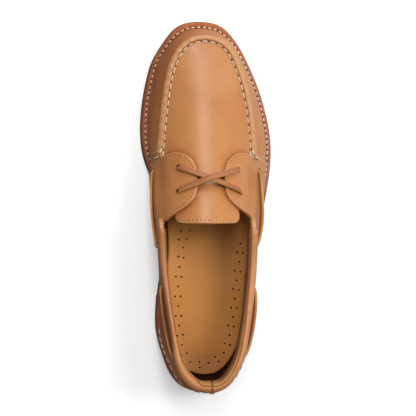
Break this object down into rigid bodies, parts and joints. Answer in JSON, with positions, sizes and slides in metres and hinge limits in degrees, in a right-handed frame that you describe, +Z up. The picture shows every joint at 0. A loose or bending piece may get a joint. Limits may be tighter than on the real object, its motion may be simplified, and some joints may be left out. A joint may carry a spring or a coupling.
{
  "type": "boat shoe",
  "caption": "Low leather boat shoe for the right foot, with a raised moccasin seam, crossed thong, padded open collar and a heeled rubber sole.",
  "frame": {"origin": "on the floor, on the flat underside of the heel, 36 mm in front of the heel's back", "axes": "+Y points to the toe, +X to the outer (little toe) side of this right shoe, +Z up"},
  "size_m": [0.1077, 0.2995, 0.0846],
  "materials": {
    "upper_leather": "smooth oiled tan leather",
    "collar_leather": "soft tan leather over padding",
    "thong_leather": "dark tan rawhide",
    "insole_leather": "smooth yellow tan leather",
    "midsole_red": "brick red, matt",
    "outsole_rubber": "dark brown, matt"
  },
  "bodies": {
    "root": {"outsole": "outsole_rubber", "heel": "outsole_rubber", "midsole": "midsole_red", "upper": "upper_leather", "tongue": "upper_leather", "facing_medial": "upper_leather", "facing_lateral": "upper_leather", "collar": "collar_leather", "insole": "insole_leather", "thong_cross": "thong_leather", "side_thong_medial_front": "thong_leather", "side_thong_medial_rear": "thong_leather", "side_thong_lateral_front": "thong_leather", "side_thong_lateral_rear": "thong_leather"}
  },
  "joints": []
}
